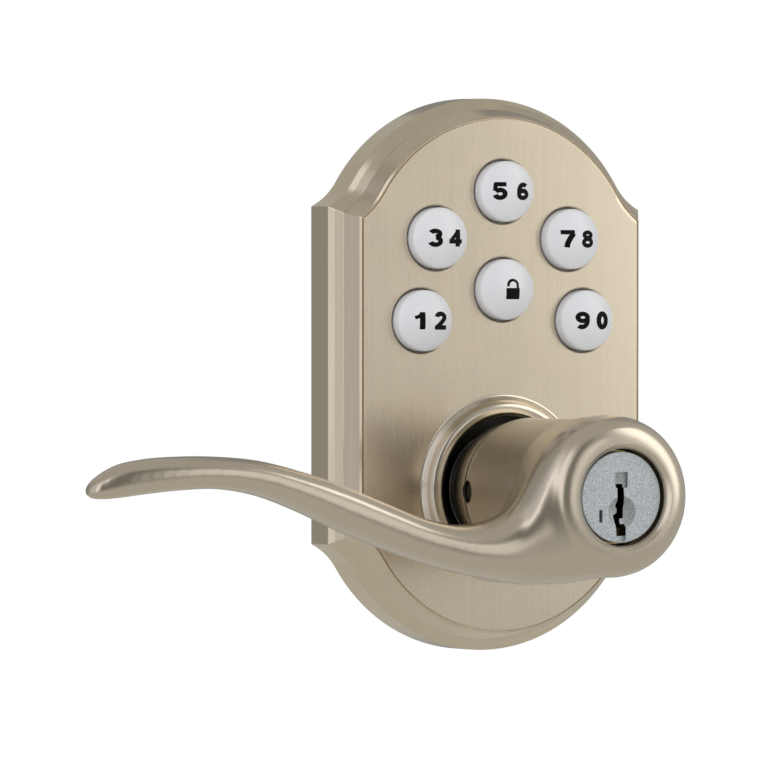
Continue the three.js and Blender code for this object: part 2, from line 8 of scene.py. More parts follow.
import bmesh
import bpy
import numpy as np
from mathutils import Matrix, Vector


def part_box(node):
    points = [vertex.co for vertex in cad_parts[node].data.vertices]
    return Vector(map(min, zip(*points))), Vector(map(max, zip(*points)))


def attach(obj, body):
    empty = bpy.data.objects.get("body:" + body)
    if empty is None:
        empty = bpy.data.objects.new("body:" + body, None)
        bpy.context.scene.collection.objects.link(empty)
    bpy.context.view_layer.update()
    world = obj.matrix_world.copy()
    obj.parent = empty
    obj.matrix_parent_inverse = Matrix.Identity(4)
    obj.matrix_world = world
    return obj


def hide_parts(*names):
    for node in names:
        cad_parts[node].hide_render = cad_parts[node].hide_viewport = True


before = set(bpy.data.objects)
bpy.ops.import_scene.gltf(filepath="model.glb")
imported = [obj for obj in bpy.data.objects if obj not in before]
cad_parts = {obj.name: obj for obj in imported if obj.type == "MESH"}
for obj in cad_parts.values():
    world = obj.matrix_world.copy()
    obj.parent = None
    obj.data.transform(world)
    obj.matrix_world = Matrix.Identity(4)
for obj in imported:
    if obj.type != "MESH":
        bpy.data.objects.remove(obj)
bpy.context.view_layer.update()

MM = 0.001

# -------- sizes, from the frame


def node_size(node):
    """Lowest and highest corner of a CAD node in millimetres."""
    low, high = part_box(node)
    return low / MM, high / MM


def node_centre(node):
    """The x and z of a CAD node's middle."""
    low, high = node_size(node)
    return (low.x + high.x) / 2, (low.z + high.z) / 2


plate_low, plate_high = node_size("escutcheon")
PLATE_WIDTH = plate_high.x - plate_low.x
PLATE_HEIGHT = plate_high.z - plate_low.z
PLATE_CENTRE = (plate_high.z + plate_low.z) / 2
RING_DEPTH = -plate_low.y
ARCH_RADIUS = 43.2
ARCH_TURN = math.radians(58.8)
SHOULDER_RADIUS = 15.6
SIDE_DEPTH = 8.8
LEDGE_INSET = 3.05
LEDGE_DEPTH = 11.85
FACE_DEPTH = 17.1
FACE_THICKNESS = 2.5
RING_INNER = 17.6
RING_FOOT = 23.2
KEY_NAMES = ["56", "34", "78", "12", "90", "lock"]
KEY_APEX = -node_size("button_56")[0].y
KEY_RADIUS = 7.35
KEY_HOLE_RADIUS = 7.8
KEY_EDGE = FACE_DEPTH + 2
DOME_RADIUS = 6.95
DOME_BASE = KEY_EDGE + 0.75
HEAD_FRONT = -node_size("lever")[0].y
NECK_BACK = 22.0
PLUG_FACE = -node_size("key_plug")[0].y
CATCH_DEPTH = 30.2
CATCH_RADIUS = 2.6
WAFER_DEPTHS = (50, 54, 58, 62, 66)
POST_X = 22.5
CABLE_SLOT_Z = 22.1
SCREW_PLACES = [(side * 25.8, PLATE_CENTRE + end * 48.25) for side in (-1, 1) for end in (-1, 1)]
BOARD_SCREW_PLACES = [(side * x, z) for x, z in ((11.5, 75.5), (13.5, 32.5)) for side in (-1, 1)]

# -------- mesh helpers


def new_object(name, mesh):
    obj = bpy.data.objects.new(name, mesh)
    bpy.context.scene.collection.objects.link(obj)
    return obj


def tidy(mesh, distance=1e-7):
    """Merges points nearer than a distance in metres, and turns the faces outwards."""
    work = bmesh.new()
    work.from_mesh(mesh)
    bmesh.ops.remove_doubles(work, verts=work.verts, dist=distance)
    bmesh.ops.recalc_face_normals(work, faces=work.faces)
    work.to_mesh(mesh)
    work.free()


def skin(name, rings, looped=False):
    """An object skinned over rings of equally many points, in millimetres. A looped skin joins its
    last ring to its first.
    """
    count = len(rings[0])
    points = [(x * MM, y * MM, z * MM) for ring in rings for x, y, z in ring]
    faces = []
    for r in range(len(rings) if looped else len(rings) - 1):
        this, following = r * count, ((r + 1) % len(rings)) * count
        for i in range(count):
            j = (i + 1) % count
            faces.append((this + i, this + j, following + j, following + i))
    if not looped:
        faces.append(tuple(range(count)))
        faces.append(tuple(range(len(points) - count, len(points))))
    mesh = bpy.data.meshes.new(name)
    mesh.from_pydata(points, [], faces)
    tidy(mesh)
    return new_object(name, mesh)


def lathe(name, profile, segments=96, x=0.0, z=0.0, looped=False):
    """A profile of (radius, depth) points turned about a line along Y through x and z."""
    rings = []
    for radius, depth in profile:
        ring = []
        for i in range(segments):
            turn = 2 * math.pi * i / segments
            ring.append((x + radius * math.cos(turn), -depth, z + radius * math.sin(turn)))
        rings.append(ring)
    return skin(name, rings, looped)


def rod(name, radius, back, front, segments, x=0.0, z=0.0):
    """A plain round rod along Y, for bosses and holes."""
    return lathe(name, [(0, back), (radius, back), (radius, front), (0, front)], segments, x, z)


def catch_rod(name, sections, segments):
    """A round rod along X at the catch, from (x, radius) sections."""
    turns = [2 * math.pi * i / segments for i in range(segments)]
    return skin(name, [
        [(x, -CATCH_DEPTH + radius * math.cos(turn), radius * math.sin(turn)) for turn in turns]
        for x, radius in sections
    ])


def rounded(corners, radius=0.0, steps=4, looped=False):
    """Corners joined by straight runs, each corner rounded. A corner may bring its own radius."""
    result = []
    count = len(corners)
    for i, corner in enumerate(corners):
        here = Vector(corner[:2])
        reach = corner[2] if len(corner) > 2 else radius
        if reach <= 0 or (not looped and i in (0, count - 1)):
            result.append(tuple(here))
            continue
        back = Vector(corners[i - 1][:2]) - here
        ahead = Vector(corners[(i + 1) % count][:2]) - here
        half = back.angle(ahead) / 2
        if half > math.radians(89):
            result.append(tuple(here))
            continue
        run = min(reach / math.tan(half), 0.49 * back.length, 0.49 * ahead.length)
        reach = run * math.tan(half)
        centre = here + (back.normalized() + ahead.normalized()).normalized() * (reach / math.sin(half))
        start = here + back.normalized() * run - centre
        end = here + ahead.normalized() * run - centre
        for k in range(steps + 1):
            share = k / steps
            angle = start.angle(end)
            point = (start * math.sin((1 - share) * angle) + end * math.sin(share * angle)) / math.sin(angle)
            result.append(tuple(centre + point))
    return result


def prism(name, outline, back, front, edge=0.0, steps=3):
    """An outline in X and Z standing from one depth to another, its rims rounded inwards."""
    if edge <= 0:
        return skin(name, [[(x, -depth, z) for x, z in outline] for depth in (back, front)])
    rings = []
    for k in range(steps + 1):
        turn = math.pi / 2 * k / steps
        rings.append((edge * (1 - math.sin(turn)), back + edge * (1 - math.cos(turn))))
    rings += [(inset, front - (depth - back)) for inset, depth in reversed(rings)]
    return skin(name, [
        [(x, -depth, z) for x, z in inset_outline(outline, inset)] for inset, depth in rings
    ])


def inset_outline(outline, inset):
    """The outline drawn in along its corner bisectors."""
    count = len(outline)
    area = sum(a[0] * b[1] - b[0] * a[1] for a, b in zip(outline, outline[1:] + outline[:1]))
    side = 1 if area > 0 else -1
    result = []
    for i, point in enumerate(outline):
        before = Vector(point) - Vector(outline[i - 1])
        after = Vector(outline[(i + 1) % count]) - Vector(point)
        normals = [Vector((-run.y, run.x)).normalized() * side for run in (before, after)]
        bisector = (normals[0] + normals[1]).normalized()
        result.append(tuple(Vector(point) + bisector * inset / max(0.3, bisector.dot(normals[0]))))
    return result


def rectangle(x1, x2, z1, z2, radius=0.0):
    return rounded([(x1, z1), (x2, z1), (x2, z2), (x1, z2)], radius, looped=True)


def block(name, x1, x2, z1, z2, back, front):
    return prism(name, rectangle(x1, x2, z1, z2), back, front)


def apply_modifiers(obj):
    bpy.context.view_layer.update()
    graph = bpy.context.evaluated_depsgraph_get()
    mesh = bpy.data.meshes.new_from_object(obj.evaluated_get(graph))
    obj.modifiers.clear()
    old = obj.data
    obj.data = mesh
    bpy.data.meshes.remove(old)


def boolean(obj, tool, operation):
    """Joins to or cuts from obj with tool, which is used up."""
    modifier = obj.modifiers.new("boolean", "BOOLEAN")
    modifier.operation = operation
    modifier.solver = "EXACT"
    modifier.object = tool
    apply_modifiers(obj)
    bpy.data.objects.remove(tool)


def join(obj, *tools):
    for tool in tools:
        boolean(obj, tool, "UNION")


def cut(obj, *tools):
    for tool in tools:
        boolean(obj, tool, "DIFFERENCE")


def coat(obj, *materials):
    """Fills the material slots in order, in place of what was there."""
    obj.data.materials.clear()
    for material in materials:
        obj.data.materials.append(material)


def smooth(obj, sharp_above):
    """Smooth shading with the sharp edges kept, flat faces kept flat up to their rims."""
    obj.data.shade_smooth()
    obj.data.set_sharp_from_angle(angle=math.radians(sharp_above))
    modifier = obj.modifiers.new("normals", "WEIGHTED_NORMAL")
    modifier.keep_sharp = True
    modifier.weight = 80


# -------- materials


class Tree:
    """A node tree, with short ways to add the nodes used below."""

    def __init__(self, tree):
        self.tree = tree

    def add(self, kind, **settings):
        node = self.tree.nodes.new(kind)
        for key, value in settings.items():
            setattr(node, key, value)
        return node

    def link(self, output, target):
        self.tree.links.new(output, target)

    def split(self, vector):
        node = self.add("ShaderNodeSeparateXYZ")
        self.link(vector, node.inputs["Vector"])
        return node.outputs

    def maths(self, operation, a, b=None):
        node = self.add("ShaderNodeMath", operation=operation)
        for socket, value in zip(node.inputs, (a, b)):
            if isinstance(value, (int, float)):
                socket.default_value = value
            elif value is not None:
                self.link(value, socket)
        return node.outputs["Value"]


class Nodes(Tree):
    """A material's node tree round its shader."""

    def __init__(self, name, colour, roughness, metallic):
        self.material = bpy.data.materials.new(name)
        self.material.use_nodes = True
        super().__init__(self.material.node_tree)
        self.shader = self.tree.nodes["Principled BSDF"]
        self.shader.inputs["Base Color"].default_value = (*colour, 1)
        self.shader.inputs["Roughness"].default_value = roughness
        self.shader.inputs["Metallic"].default_value = metallic

    def place(self):
        return self.add("ShaderNodeTexCoord").outputs["Object"]

    def scaled(self, vector, scale):
        node = self.add("ShaderNodeMapping")
        self.link(vector, node.inputs["Vector"])
        node.inputs["Scale"].default_value = scale
        return node.outputs["Vector"]

    def noise(self, vector, scale=1.0, detail=3.0, roughness=0.5):
        node = self.add("ShaderNodeTexNoise")
        self.link(vector, node.inputs["Vector"])
        node.inputs["Scale"].default_value = scale
        node.inputs["Detail"].default_value = detail
        node.inputs["Roughness"].default_value = roughness
        return node.outputs["Fac"]

    def range(self, value, low, high, from_low=0.25, from_high=0.75):
        node = self.add("ShaderNodeMapRange")
        self.link(value, node.inputs["Value"])
        node.inputs["From Min"].default_value = from_low
        node.inputs["From Max"].default_value = from_high
        node.inputs["To Min"].default_value = low
        node.inputs["To Max"].default_value = high
        return node.outputs["Result"]

    def mix(self, share, first, second):
        """The colour between two colours."""
        node = self.add("ShaderNodeMix", data_type="RGBA")
        self.link(share, node.inputs["Factor"])
        node.inputs["A"].default_value = (*first, 1)
        node.inputs["B"].default_value = (*second, 1)
        return node.outputs["Result"]

    def put(self, socket, output):
        self.link(output, self.shader.inputs[socket])

    def tint(self, share, colour, dark, light):
        """Varies the base colour between a darker and a lighter shade of it."""
        shades = [tuple(min(1.0, channel * factor) for channel in colour) for factor in (dark, light)]
        self.put("Base Color", self.mix(share, *shades))

    def bump(self, height, strength, distance):
        node = self.add("ShaderNodeBump")
        self.link(height, node.inputs["Height"])
        node.inputs["Strength"].default_value = strength
        node.inputs["Distance"].default_value = distance * MM
        self.put("Normal", node.outputs["Normal"])


def round_place(nodes):
    """Radius and depth about the lever's axis, so that a stretched noise runs in rings."""
    x, y, z = nodes.split(nodes.place())
    square = nodes.maths("ADD", nodes.maths("MULTIPLY", x, x), nodes.maths("MULTIPLY", z, z))
    radius = nodes.maths("SQRT", square)
    turn = nodes.maths("ARCTAN2", z, x)
    joined = nodes.add("ShaderNodeCombineXYZ")
    nodes.link(radius, joined.inputs["X"])
    nodes.link(y, joined.inputs["Y"])
    nodes.link(nodes.maths("MULTIPLY", turn, 0.01), joined.inputs["Z"])
    return joined.outputs["Vector"]


def brushed_metal(name, colour, roughness, stretch, grain=0.35, turned=False, depth=0.004):
    """Nickel brushed one way: stretch holds the streaks' frequency per metre along each axis."""
    nodes = Nodes(name, colour, roughness, 1.0)
    place = round_place(nodes) if turned else nodes.place()
    fine = nodes.noise(nodes.scaled(place, stretch), 1.0, 2.0, 0.5)
    broad = nodes.noise(nodes.scaled(place, tuple(s * 0.12 for s in stretch)), 1.0, 2.0)
    cloud = nodes.noise(nodes.place(), 55.0, 2.0)
    worn = nodes.maths("ADD", nodes.maths("MULTIPLY", fine, 0.6), nodes.maths("MULTIPLY", broad, 0.4))
    nodes.tint(nodes.range(worn, 0.0, 1.0), colour, 1 - 0.22 * grain, 1 + 0.16 * grain)
    streaks = nodes.range(fine, -0.05 * grain, 0.05 * grain)
    spread = nodes.maths("ADD", streaks, nodes.range(cloud, -0.02, 0.02))
    nodes.put("Roughness", nodes.maths("ADD", spread, roughness))
    nodes.bump(fine, 0.5 * grain, depth)
    return nodes.material


def plain_metal(name, colour, roughness):
    """Plated or tumbled steel: a fine even grain, with stains where the plating varies."""
    nodes = Nodes(name, colour, roughness, 1.0)
    fine = nodes.noise(nodes.place(), 4000.0, 3.0)
    stain = nodes.noise(nodes.place(), 160.0, 4.0)
    nodes.tint(nodes.range(stain, 0.0, 1.0), colour, 0.86, 1.08)
    nodes.put("Roughness", nodes.range(stain, roughness - 0.06, roughness + 0.08))
    nodes.bump(fine, 0.3, 0.004)
    return nodes.material


def cast_metal(name, colour, roughness):
    """Sand-blasted die casting: sparkling grains a quarter of a millimetre across."""
    nodes = Nodes(name, colour, roughness, 0.75)
    grains = nodes.add("ShaderNodeTexVoronoi")
    grains.inputs["Scale"].default_value = 2900.0
    nodes.link(nodes.place(), grains.inputs["Vector"])
    fine = nodes.noise(nodes.place(), 2800.0, 2.0, 0.6)
    speck = nodes.range(fine, 0.0, 1.0, 0.35, 0.68)
    nodes.tint(speck, colour, 0.72, 1.3)
    nodes.put("Roughness", nodes.range(fine, roughness - 0.12, roughness + 0.1))
    height = nodes.maths("ADD", grains.outputs["Distance"], fine)
    nodes.bump(height, 0.55, 0.06)
    return nodes.material


def moulded_plastic(name, colour, roughness, coat=0.0, gloss=0.5):
    """Moulded plastic: a faint orange-peel grain and a little unevenness in its gloss."""
    nodes = Nodes(name, colour, roughness, 0.0)
    fine = nodes.noise(nodes.place(), 2600.0, 3.0)
    broad = nodes.noise(nodes.place(), 220.0, 3.0)
    nodes.tint(nodes.range(broad, 0.0, 1.0), colour, 0.97, 1.02)
    nodes.put("Roughness", nodes.range(fine, roughness - 0.04, roughness + 0.06))
    nodes.bump(fine, 0.25, 0.01)
    nodes.shader.inputs["Coat Weight"].default_value = coat
    nodes.shader.inputs["Specular IOR Level"].default_value = gloss
    nodes.shader.inputs["Coat Roughness"].default_value = 0.12
    return nodes.material


def soft_rubber(name, colour):
    """Matt rubber with a fine pitted skin and a grey bloom."""
    nodes = Nodes(name, colour, 0.75, 0.0)
    pits = nodes.noise(nodes.place(), 3200.0, 4.0, 0.7)
    bloom = nodes.noise(nodes.place(), 140.0, 4.0)
    nodes.tint(nodes.range(bloom, 0.0, 1.0), colour, 1.0, 1.7)
    nodes.put("Roughness", nodes.range(pits, 0.62, 0.9))
    nodes.bump(pits, 0.4, 0.03)
    return nodes.material


def closed_foam(name, colour):
    """Closed-cell foam: small round cells, very matt."""
    nodes = Nodes(name, colour, 0.95, 0.0)
    cells = nodes.add("ShaderNodeTexVoronoi")
    cells.inputs["Scale"].default_value = 1900.0
    nodes.link(nodes.place(), cells.inputs["Vector"])
    fleck = nodes.range(cells.outputs["Distance"], 0.0, 1.0, 0.0, 0.6)
    nodes.tint(fleck, colour, 0.6, 1.5)
    nodes.bump(cells.outputs["Distance"], 0.6, 0.12)
    return nodes.material


def solder_mask(name, colour):
    """A circuit board's glossy green mask over its copper tracks."""
    nodes = Nodes(name, colour, 0.32, 0.0)
    tracks = nodes.add("ShaderNodeTexBrick")
    tracks.inputs["Scale"].default_value = 190.0
    tracks.inputs["Mortar Size"].default_value = 0.06
    nodes.link(nodes.place(), tracks.inputs["Vector"])
    copper = nodes.range(tracks.outputs["Fac"], 0.0, 1.0, 0.0, 1.0)
    nodes.tint(copper, colour, 1.0, 1.5)
    nodes.bump(tracks.outputs["Fac"], 0.3, 0.02)
    return nodes.material


FACE_NICKEL = (0.68, 0.592, 0.46)
BEVEL_NICKEL = (0.655, 0.568, 0.435)
RING_NICKEL = (0.62, 0.56, 0.465)
LEVER_NICKEL = (0.61, 0.54, 0.437)

plate_nickel = brushed_metal("plate_nickel", FACE_NICKEL, 0.27, (3000, 3000, 34), grain=0.18, depth=0.002)
bevel_nickel = brushed_metal("bevel_nickel", BEVEL_NICKEL, 0.15, (2600, 2600, 40))
ring_nickel = brushed_metal("ring_nickel", RING_NICKEL, 0.2, (5200, 5200, 60), grain=0.3, turned=True)
lever_nickel = brushed_metal("lever_nickel", LEVER_NICKEL, 0.25, (110, 2600, 2600), grain=0.2)
zinc_steel = plain_metal("zinc_steel", (0.52, 0.53, 0.54), 0.34)
spring_steel = plain_metal("spring_steel", (0.36, 0.36, 0.37), 0.26)
# Near-black steel for the lever catch, also used as painted shade in the plug's keyway and on the cage cover
# behind the ring.
dark_steel_and_shade = plain_metal("dark_steel_and_shade", (0.028, 0.027, 0.025), 0.4)
cast_nickel = cast_metal("cast_nickel", (0.50, 0.54, 0.56), 0.48)
# A darker copy of the cast nickel, for the shallow marks in the plug's face.
darker_cast_nickel = cast_metal("darker_cast_nickel", (0.33, 0.35, 0.36), 0.42)
# A warm dark steel, coloured as painted shade: the sleeve's end that shows behind the neck reads as the
# neck's shaded rear.
painted_shade_steel = plain_metal("painted_shade_steel", (0.32, 0.295, 0.25), 0.36)
brass = plain_metal("brass", (0.66, 0.49, 0.22), 0.3)
# A much darker copy of the brass, for the wafers inside the keyway.
dark_brass = plain_metal("dark_brass", (0.20, 0.15, 0.08), 0.45)
white_plastic = moulded_plastic("white_plastic", (0.80, 0.81, 0.84), 0.32, coat=0.25)
black_plastic = moulded_plastic("black_plastic", (0.012, 0.012, 0.013), 0.42)
rubber = soft_rubber("rubber", (0.018, 0.019, 0.02))
foam = closed_foam("foam", (0.035, 0.037, 0.04))
board_green = solder_mask("board_green", (0.012, 0.10, 0.045))
print_black = moulded_plastic("print_black", (0.003, 0.003, 0.0035), 0.6, gloss=0.12)

CAD_FINISHES = [
    (zinc_steel, ["spring_cage", "spring_driver", *[f"board_screw_{i}" for i in range(1, 5)]]),
    (spring_steel, ["return_spring", "catch_spring", "plug_clip"]),
    (dark_steel_and_shade, ["lever_catch"]),
    (brass, ["cylinder_housing"]),
    (dark_brass, [f"wafer_{i}" for i in range(1, 6)]),
    (black_plastic, ["controller_chip", "buzzer", *[f"switch_{name}" for name in KEY_NAMES]]),
    (white_plastic, ["cable_socket"]),
    (rubber, ["keypad_mat"]),
    (board_green, ["keypad_board"]),
]


def finish_cad_nodes():
    """Gives each CAD node that stays shown its material."""
    for material, names in CAD_FINISHES:
        for name in names:
            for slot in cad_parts[name].material_slots:
                slot.material = material


def place_piece(piece, sharp_above, body, slot, nodes, *materials):
    """Finishes a piece: smooths it but for edges sharper than so many degrees, gives it its
    materials and its body, and hides the CAD nodes it stands for.
    """
    smooth(piece, sharp_above)
    if materials:
        coat(piece, *materials)
    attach(piece, body)
    if nodes:
        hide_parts(*nodes)


# -------- escutcheon


def plate_outline(inset, fine=1.0):
    """Outline drawn in by an inset: arches, hollow shoulders and straight sides, corners eased."""
    corner = 0.45
    arch = ARCH_RADIUS - inset
    hollow = SHOULDER_RADIUS + inset
    side = PLATE_WIDTH / 2 - inset
    arch_centre = PLATE_HEIGHT / 2 - ARCH_RADIUS
    reach = ARCH_RADIUS + SHOULDER_RADIUS
    hollow_x = reach * math.sin(ARCH_TURN)
    hollow_z = arch_centre + reach * math.cos(ARCH_TURN)
    corner_x = side - corner
    corner_z = hollow_z - math.sqrt((hollow + corner) ** 2 - (hollow_x - corner_x) ** 2)
    side_turn = math.asin((hollow_x - corner_x) / (hollow + corner))
    quarter = []
    arch_steps = round(44 * fine)
    for i in range(arch_steps + 1):
        turn = ARCH_TURN * i / arch_steps
        quarter.append((arch * math.sin(turn), arch_centre + arch * math.cos(turn)))
    hollow_steps = round(18 * fine)
    for i in range(1, hollow_steps + 1):
        turn = ARCH_TURN + (side_turn - ARCH_TURN) * i / hollow_steps
        quarter.append((hollow_x - hollow * math.sin(turn), hollow_z - hollow * math.cos(turn)))
    corner_steps = round(5 * fine)
    first = math.pi / 2 - side_turn
    for i in range(1, corner_steps + 1):
        turn = first * (1 - i / corner_steps)
        quarter.append((corner_x + corner * math.cos(turn), corner_z + corner * math.sin(turn)))
    side_steps = round(9 * fine)
    side_top = quarter[-1][1]
    for i in range(1, side_steps):
        quarter.append((side, side_top * (1 - i / side_steps)))
    lower = [(x, -z) for x, z in reversed(quarter)]
    right = quarter + [(side, 0.0)] + lower
    left = [(-x, z) for x, z in reversed(right[1:-1])]
    return [(x, z + PLATE_CENTRE) for x, z in right + left]


def outline_ring(inset, depth, fine=1.0):
    return [(x, -depth, z) for x, z in plate_outline(inset, fine)]


def make_escutcheon():
    section = rounded([
        (0.35, 0.0),
        (0.0, 0.5, 0.3),
        (0.3, SIDE_DEPTH, 0.25),
        (1.5, 10.05, 4.0),
        (LEDGE_INSET - 0.1, LEDGE_DEPTH, 0.25),
        (LEDGE_INSET, LEDGE_DEPTH + 0.05, 0.1),
        (3.95, 14.2, 8.0),
        (4.8, 16.48, 0.12),
        (5.28, 16.98, 0.06),
        (5.36, 16.55, 0.05),
        (5.62, 16.55, 0.05),
        (5.68, FACE_DEPTH, 0.08),
        (6.5, FACE_DEPTH),
    ], 0.0, 4)
    body = skin("escutcheon_body", [outline_ring(inset, depth) for inset, depth in section])
    inside = FACE_DEPTH - FACE_THICKNESS
    hollow = skin("hollow", [
        outline_ring(inset, depth, 0.6)
        for inset, depth in [(3, -1), (3, 7.5), (6.3, 11), (7, inside)]
    ])
    cut(body, hollow)
    ring = lathe("ring", rounded([
        (RING_INNER - 1, inside - 0.5),
        (RING_FOOT, inside - 0.5),
        (RING_FOOT, FACE_DEPTH - 0.25),
        (23.0, FACE_DEPTH - 0.02),
        (22.35, FACE_DEPTH + 0.12, 0.8),
        (21.45, FACE_DEPTH + 1.2, 0.8),
        (21.0, FACE_DEPTH + 2.2, 0.5),
        (20.6, RING_DEPTH - 0.35, 0.6),
        (19.7, RING_DEPTH, 1.2),
        (18.4, RING_DEPTH - 0.25, 0.9),
        (RING_INNER, RING_DEPTH - 1.1, 0.5),
        (RING_INNER - 1, RING_DEPTH - 1.4),
    ], 0.0, 6, looped=True), 160, looped=True)
    join(body, ring)
    join(body, *[rod("boss", 2.8, 3, 16, 32, x, z) for x, z in SCREW_PLACES])
    join(body, *[rod("board_boss", 2.5, 6.3, 16, 32, x, z) for x, z in BOARD_SCREW_PLACES])
    cut(body, rod("lever_hole", RING_INNER, -1, RING_DEPTH + 1, 160))
    rim = 0.45
    turns = [math.pi / 2 * k / 5 for k in range(6)]
    key_hole = [
        (0, inside - 4),
        (KEY_HOLE_RADIUS, inside - 4),
        *[(KEY_HOLE_RADIUS + rim * (1 - math.cos(t)), FACE_DEPTH - rim + rim * math.sin(t)) for t in turns],
        (KEY_HOLE_RADIUS + rim + 0.4, FACE_DEPTH + 0.6),
        (0, FACE_DEPTH + 0.6),
    ]
    key_places = [node_centre(f"button_{name}") for name in KEY_NAMES]
    cut(body, *[lathe("key_hole", key_hole, 96, x, z) for x, z in key_places])
    cut(body, *[rod("pilot", 1.5, 0, 10.5, 24, x, z) for x, z in SCREW_PLACES])
    cut(body, *[rod("board_pilot", 1.3, 0, 10.5, 24, x, z) for x, z in BOARD_SCREW_PLACES])
    tidy(body.data, 2e-6)
    coat(body, plate_nickel, ring_nickel, bevel_nickel)
    # The ring and the sloping rims have their own nickel, but for the rims of the key holes.
    key_surround = 9
    for face in body.data.polygons:
        middle = face.center / MM
        by_key = any(math.hypot(middle.x - x, middle.z - z) < key_surround for x, z in key_places)
        on_ring = math.hypot(middle.x, middle.z) < RING_FOOT + 0.2 and -middle.y > FACE_DEPTH - 0.02
        if on_ring and face.normal.y > -0.9999:
            face.material_index = 1
        elif face.normal.y > -0.98 and not by_key:
            face.material_index = 2
    place_piece(body, 28, "housing", "satin_nickel", ["escutcheon"])


# -------- keys and their printing


def dome_depth(radius):
    """How far out a key's dome stands at a distance from its middle."""
    return DOME_BASE + (KEY_APEX - DOME_BASE) * (1 - (radius / DOME_RADIUS) ** 2)


def make_key(name):
    stem_end = -node_size(f"button_{name}")[1].y
    flange_front = FACE_DEPTH - FACE_THICKNESS - 0.3
    flange_back = flange_front - 1.4
    flange_radius = 8.6
    rim = 6.3
    edge = rounded([
        (flange_radius, flange_back, 0.2),
        (flange_radius, flange_front, 0.2),
        (KEY_RADIUS, flange_front, 0.2),
        (KEY_RADIUS, KEY_EDGE + 0.45, 1.5),
        (rim, dome_depth(rim)),
    ], 0.0, 6)
    dome = [(radius, dome_depth(radius)) for radius in (rim * (1 - k / 14) for k in range(1, 15))]
    stem = [(0, stem_end), (2.2, stem_end), (2.5, stem_end + 0.3), (2.5, flange_back)]
    piece = lathe(f"key_{name}", stem + edge + dome, 96, *node_centre(f"button_{name}"))
    place_piece(piece, 35, f"button_{name}", "white_plastic", [f"button_{name}"], white_plastic)


def ribbon(path, width, looped=False):
    """A flat band along a path of (across, up) points, one unit to the millimetre, 0.2 thick."""
    rings = []
    count = len(path)
    for i, point in enumerate(path):
        before = path[i - 1] if looped or i > 0 else point
        after = path[(i + 1) % count] if looped or i < count - 1 else point
        along = Vector((after[0] - before[0], after[1] - before[1])).normalized()
        across = Vector((-along.y, along.x)) * width / 2
        here = Vector(point)
        left, right = here + across, here - across
        corners = [(left, 0.0), (right, 0.0), (right, -0.2), (left, -0.2)]
        rings.append([(spot.x / MM, spot.y / MM, lift / MM) for spot, lift in corners])
    return skin("ribbon", rings, looped)


def arc(x, z, reach_x, reach_z, start, end, steps=24):
    """Points of an elliptical arc, its angles in degrees."""
    turns = [math.radians(start + (end - start) * i / steps) for i in range(steps + 1)]
    return [(x + reach_x * math.cos(turn), z + reach_z * math.sin(turn)) for turn in turns]


def ring(x, z, reach_x, reach_z, steps=36):
    return arc(x, z, reach_x, reach_z, 0, 360 - 360 / steps, steps - 1)


STEM = 1.26
BAR = 1.05
FIGURE_WIDTH = 1.12
PRINT_LIFT = 0.04
LONGEST_EDGE = 0.45

# Each figure is 4.1 high and about 3.2 wide before FIGURE_WIDTH widens it. Its bands each have a
# path and a width, and True where the path closes.
FIGURES = {
    "0": [(ring(0, 0, 1.02, 1.6), STEM, True)],
    "1": [
        ([(0.5, -2.05), (0.5, 2.05)], STEM),
        ([(0.3, 1.45), (-0.4, 0.98), (-1.15, 0.72)], 0.82),
    ],
    "2": [
        (arc(0, 0.82, 1.06, 0.82, 172, -32) + [(0.1, -0.55), (-0.85, -1.45)], 1.12),
        ([(-1.55, -1.63), (1.55, -1.63)], BAR),
    ],
    "3": [
        (arc(-0.05, 0.98, 1.0, 0.68, 160, -88), 1.1),
        (arc(-0.02, -0.78, 1.1, 0.86, 88, -165), 1.1),
    ],
    "4": [
        ([(0.62, 1.62), (-1.3, -0.7)], 0.9),
        ([(-1.7, -0.82), (1.75, -0.82)], BAR),
        ([(0.62, -2.05), (0.62, 2.05)], STEM),
    ],
    "5": [
        ([(-1.15, 1.63), (1.4, 1.63)], BAR),
        ([(-0.95, 1.9), (-1.12, 0.05)], 0.86),
        (arc(-0.02, -0.68, 1.1, 0.94, 148, -165), 1.1),
    ],
    "6": [
        (ring(0, -0.74, 1.08, 0.86), 1.08, True),
        (arc(0.12, -0.1, 1.2, 1.7, 188, 52), 1.1),
    ],
    "7": [
        ([(-1.6, 1.63), (1.6, 1.63)], BAR),
        ([(1.3, 1.35), (0.45, 0.1), (-0.05, -1.0), (-0.2, -2.05)], STEM),
    ],
    "8": [(ring(0, 1.0, 0.96, 0.64), 0.98, True), (ring(0, -0.8, 1.1, 0.82), 1.0, True)],
    "9": [
        (ring(0, 0.74, 1.08, 0.86), 1.08, True),
        (arc(-0.12, 0.1, 1.2, 1.7, 8, -128), 1.1),
    ],
}
# How far each key's pair of figures is shifted to the right, and how far each stands from its middle.
FIGURE_OFFSET = {
    "56": (0.15, 3.15), "34": (0.35, 2.75), "78": (0.3, 2.8), "12": (0.35, 2.8), "90": (0.35, 2.8),
}


